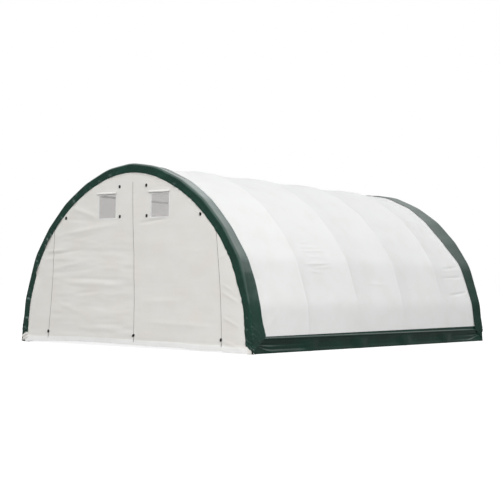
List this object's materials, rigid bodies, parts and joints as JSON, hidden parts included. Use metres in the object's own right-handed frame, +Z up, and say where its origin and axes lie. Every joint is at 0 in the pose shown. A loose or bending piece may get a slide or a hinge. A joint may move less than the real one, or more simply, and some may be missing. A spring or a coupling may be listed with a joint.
{
  "type": "fabric storage building",
  "caption": "Round-arched storage shelter: bent steel tube arches and purlins under a stretched fabric cover, zipped fabric front wall with two mesh windows.",
  "frame": {"origin": "middle of the footprint, on the ground", "axes": "+X to the right seen from the front, front wall faces -Y, +Z up"},
  "size_m": [6.1064, 9.19, 3.5893],
  "materials": {
    "galvanised_steel": "hot-dip galvanised steel tube, dull grey spangle",
    "white_cover": "white woven polyethylene cover, coated, satin",
    "white_wall": "white woven polyethylene wall fabric, coated, satin",
    "green_trim": "dark green coated woven polyethylene, satin",
    "zip_tape": "pale grey nylon zip on woven tape",
    "window_mesh": "fine grey insect mesh",
    "black_toggle": "black moulded toggle on a stitched patch"
  },
  "bodies": {
    "root": {"arch_1": "galvanised_steel", "arch_2": "galvanised_steel", "arch_3": "galvanised_steel", "arch_4": "galvanised_steel", "arch_5": "galvanised_steel", "arch_6": "galvanised_steel", "ridge_purlin": "galvanised_steel", "left_upper_purlin": "galvanised_steel", "right_upper_purlin": "galvanised_steel", "left_lower_purlin": "galvanised_steel", "right_lower_purlin": "galvanised_steel", "left_base_plates": "galvanised_steel", "right_base_plates": "galvanised_steel", "left_tension_tube": "galvanised_steel", "right_tension_tube": "galvanised_steel", "roof_cover": "white_cover", "rear_wall": "white_wall", "rear_hem": "white_wall", "front_left_panel": "white_wall", "front_right_panel": "white_wall", "left_door_leaf": "white_wall", "right_door_leaf": "white_wall", "front_gable": "white_wall", "front_hem": "white_wall", "left_window_border": "white_wall", "right_window_border": "white_wall", "left_window_flap": "white_wall", "right_window_flap": "white_wall", "left_skirt": "green_trim", "right_skirt": "green_trim", "front_trim": "green_trim", "rear_trim": "green_trim", "left_zip": "zip_tape", "centre_zip": "zip_tape", "right_zip": "zip_tape", "left_window_pane": "window_mesh", "right_window_pane": "window_mesh", "upper_toggles": "black_toggle", "lower_toggles": "black_toggle"}
  },
  "joints": []
}
